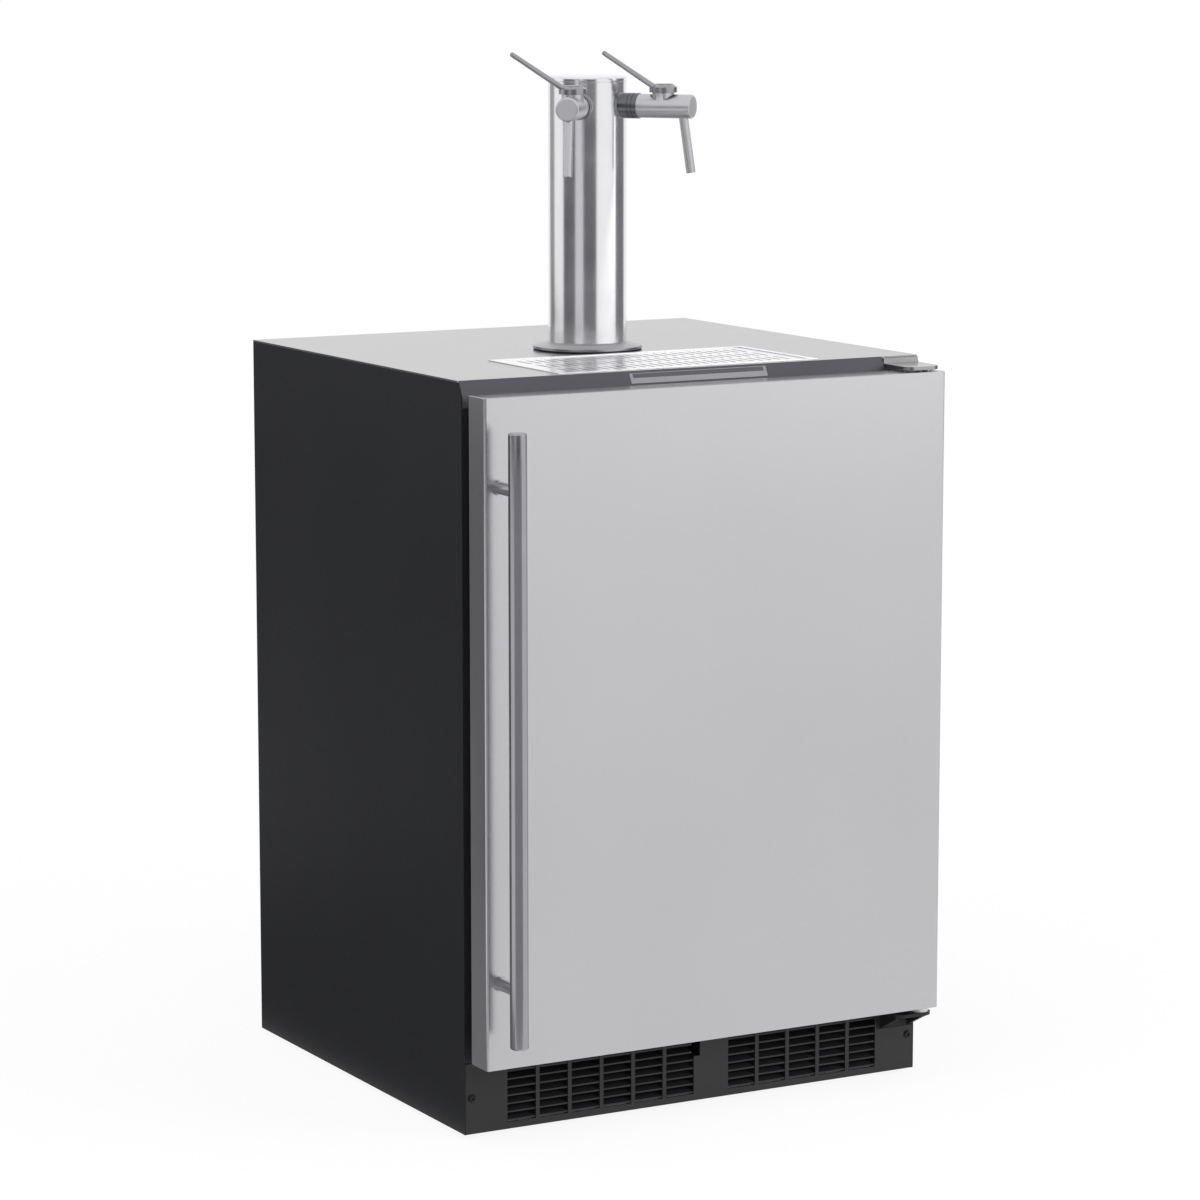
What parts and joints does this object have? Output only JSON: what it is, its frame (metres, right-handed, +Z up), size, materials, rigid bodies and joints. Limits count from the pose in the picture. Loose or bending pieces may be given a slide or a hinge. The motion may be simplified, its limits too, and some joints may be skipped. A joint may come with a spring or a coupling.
{
  "type": "built-in beverage dispenser",
  "caption": "Undercounter keg cooler: black cabinet, hinged stainless door with bar handle, stainless worktop with drip tray, tap tower with turning levers, louvred toe grille.",
  "frame": {"origin": "on the floor, below the middle of the whole object", "axes": "+X to the right seen from the front, -Y towards the user, +Z up"},
  "size_m": [0.606, 0.658, 1.2184],
  "materials": {
    "black_paint": "powder coat, satin black",
    "galvanised": "galvanised sheet",
    "stainless": "brushed stainless steel",
    "polished_steel": "polished stainless steel",
    "liner": "vacuum-formed liner, pale grey",
    "foam": "rigid polyurethane foam",
    "fascia": "satin dark grey",
    "control": "satin anodised",
    "display": "smoked window",
    "black_plastic": "moulded, fine texture",
    "black_screws": "black oxide",
    "rubber": "soft rubber",
    "shell": "gloss black enamel",
    "fins": "mill finish",
    "lamp": "opal diffuser",
    "bush": "white acetal"
  },
  "bodies": {
    "cabinet": {"left_side_panel": "black_paint", "right_side_panel": "black_paint", "back_panel": "galvanised", "base_pan": "galvanised", "step_panel": "galvanised", "cabinet_foam": "foam", "inner_liner": "liner", "keg_floor_plate": "stainless", "worktop": "stainless", "front_fascia": "fascia", "control_panel": "control", "control_display": "display", "toe_grille": "black_plastic", "cabinet_screws": "black_screws", "stainless_screws": "stainless", "top_hinge_plate": "stainless", "bottom_hinge_bracket": "black_paint", "hinge_pins": "stainless", "compressor": "shell", "compressor_mounts": "rubber", "condenser": "fins", "condenser_fan_frame": "black_plastic", "evaporator": "fins", "evaporator_cover": "liner", "evaporator_fan_frame": "black_plastic", "condensate_pan": "black_plastic", "rear_cover": "galvanised", "power_gland": "black_plastic", "chamber_light": "lamp", "tower_gasket": "rubber", "tower_flange": "polished_steel", "tower_column": "polished_steel", "tower_cap": "polished_steel", "beverage_lines": "stainless", "tap_shanks": "stainless", "tap_collars": "polished_steel", "left_tap_body": "polished_steel", "right_tap_body": "polished_steel", "tap_end_caps": "polished_steel", "left_tap_spout": "polished_steel", "right_tap_spout": "polished_steel"},
    "door": {"door_skin": "stainless", "door_inner_panel": "liner", "door_foam": "foam", "door_gasket": "rubber", "door_handle_bar": "polished_steel", "door_handle_posts": "polished_steel", "door_hinge_bushes": "bush"},
    "left_lever": {"left_valve_stem": "stainless", "left_tap_lever": "polished_steel"},
    "right_lever": {"right_valve_stem": "stainless", "right_tap_lever": "polished_steel"},
    "condenser_rotor": {"condenser_fan": "black_plastic"},
    "chamber_rotor": {"evaporator_fan": "black_plastic"},
    "drip_tray": {"drip_pan": "stainless"},
    "drip_grid": {"drip_grate": "stainless"},
    "foot_front_left": {"front_left_foot": "rubber"},
    "foot_front_right": {"front_right_foot": "rubber"},
    "foot_rear_left": {"rear_left_foot": "rubber"},
    "foot_rear_right": {"rear_right_foot": "rubber"}
  },
  "joints": [
    {"name": "door_hinge", "type": "hinge", "parent": "cabinet", "child": "door", "pos_m": [0.288, -0.2565, 0.47], "axis": [0, 0, 1], "range_deg": [0, 110]},
    {"name": "left_tap_turn", "type": "hinge", "parent": "cabinet", "child": "left_lever", "pos_m": [-0.06042, -0.03661, 1.153], "axis": [0, 0, 1], "range_deg": [0, 90]},
    {"name": "right_tap_turn", "type": "hinge", "parent": "cabinet", "child": "right_lever", "pos_m": [0.06042, -0.03661, 1.153], "axis": [0, 0, 1], "range_deg": [0, 90]},
    {"name": "condenser_fan_spin", "type": "hinge", "parent": "cabinet", "child": "condenser_rotor", "pos_m": [-0.172, 0.2265, 0.0875], "axis": [1, 0, 0], "continuous": true},
    {"name": "chamber_fan_spin", "type": "hinge", "parent": "cabinet", "child": "chamber_rotor", "pos_m": [0, 0.225, 0.653], "axis": [0, -1, 0], "continuous": true},
    {"name": "drip_pan_lift", "type": "slide", "parent": "cabinet", "child": "drip_tray", "axis": [0, 0, 1], "range_m": [0, 0.08]},
    {"name": "drip_grate_lift", "type": "slide", "parent": "drip_tray", "child": "drip_grid", "axis": [0, 0, 1], "range_m": [0, 0.06]},
    {"name": "front_left_foot_screw", "type": "slide", "parent": "cabinet", "child": "foot_front_left", "axis": [0, 0, -1], "range_m": [0, 0.02]},
    {"name": "front_right_foot_screw", "type": "slide", "parent": "cabinet", "child": "foot_front_right", "axis": [0, 0, -1], "range_m": [0, 0.02]},
    {"name": "rear_left_foot_screw", "type": "slide", "parent": "cabinet", "child": "foot_rear_left", "axis": [0, 0, -1], "range_m": [0, 0.02]},
    {"name": "rear_right_foot_screw", "type": "slide", "parent": "cabinet", "child": "foot_rear_right", "axis": [0, 0, -1], "range_m": [0, 0.02]}
  ]
}
